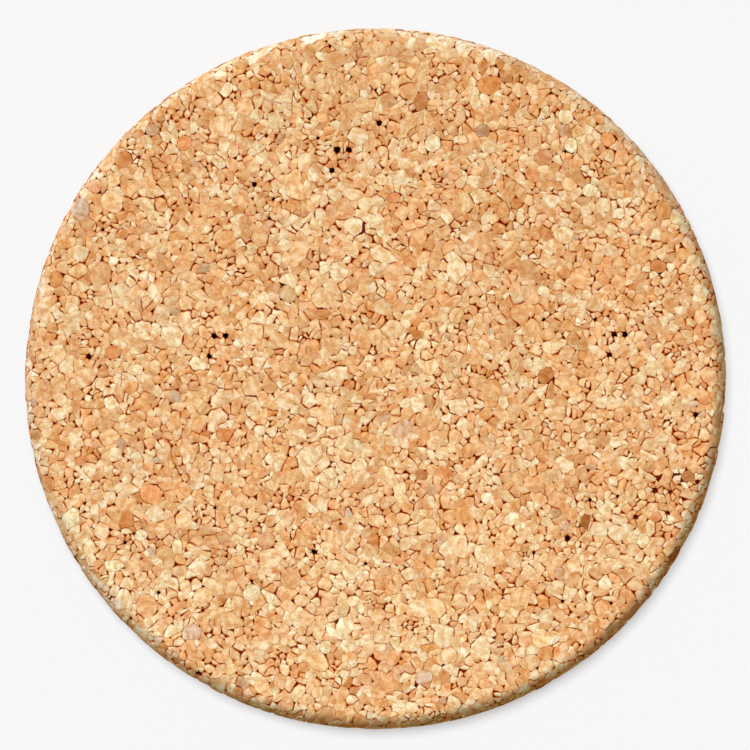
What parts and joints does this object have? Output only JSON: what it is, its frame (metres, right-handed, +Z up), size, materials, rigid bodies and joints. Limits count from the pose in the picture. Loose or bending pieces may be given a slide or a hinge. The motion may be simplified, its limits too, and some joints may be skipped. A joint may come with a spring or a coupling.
{
  "type": "coaster",
  "caption": "Round cork coaster: a flat disc of bonded cork granules with rounded edges, for a cup or glass to stand on.",
  "frame": {"origin": "centre of the underside, on the surface that the coaster lies on", "axes": "+Z up out of the face that a cup stands on, +X and +Y in the plane of the faces"},
  "size_m": [0.1, 0.1, 0.005],
  "materials": {
    "binder_cork": "matte",
    "pale_cork": "matte",
    "honey_cork": "matte",
    "amber_cork": "matte",
    "russet_cork": "matte",
    "grey_cork": "matte"
  },
  "bodies": {
    "root": {"bonded_disc": "binder_cork", "pale_granule_01": "pale_cork", "pale_granule_02": "pale_cork", "pale_granule_03": "pale_cork", "pale_granule_04": "pale_cork", "pale_granule_05": "pale_cork", "pale_granule_06": "pale_cork", "pale_granule_07": "pale_cork", "pale_granule_08": "pale_cork", "pale_granule_09": "pale_cork", "pale_granule_10": "pale_cork", "pale_granule_11": "pale_cork", "pale_granule_12": "pale_cork", "pale_granule_13": "pale_cork", "pale_granule_14": "pale_cork", "pale_granule_15": "pale_cork", "pale_granule_16": "pale_cork", "pale_granule_17": "pale_cork", "honey_granule_01": "honey_cork", "honey_granule_02": "honey_cork", "honey_granule_03": "honey_cork", "honey_granule_04": "honey_cork", "honey_granule_05": "honey_cork", "honey_granule_06": "honey_cork", "honey_granule_07": "honey_cork", "honey_granule_08": "honey_cork", "honey_granule_09": "honey_cork", "honey_granule_10": "honey_cork", "honey_granule_11": "honey_cork", "honey_granule_12": "honey_cork", "honey_granule_13": "honey_cork", "honey_granule_14": "honey_cork", "honey_granule_15": "honey_cork", "honey_granule_16": "honey_cork", "honey_granule_17": "honey_cork", "amber_granule_01": "amber_cork", "amber_granule_02": "amber_cork", "amber_granule_03": "amber_cork", "amber_granule_04": "amber_cork", "amber_granule_05": "amber_cork", "amber_granule_06": "amber_cork", "amber_granule_07": "amber_cork", "amber_granule_08": "amber_cork", "russet_granule_01": "russet_cork", "russet_granule_02": "russet_cork", "russet_granule_03": "russet_cork", "russet_granule_04": "russet_cork", "russet_granule_05": "russet_cork", "russet_granule_06": "russet_cork", "russet_granule_07": "russet_cork", "russet_granule_08": "russet_cork", "russet_granule_09": "russet_cork", "russet_granule_10": "russet_cork", "grey_granule_01": "grey_cork", "grey_granule_02": "grey_cork", "grey_granule_03": "grey_cork", "grey_granule_04": "grey_cork", "grey_granule_05": "grey_cork", "grey_granule_06": "grey_cork"}
  },
  "joints": []
}
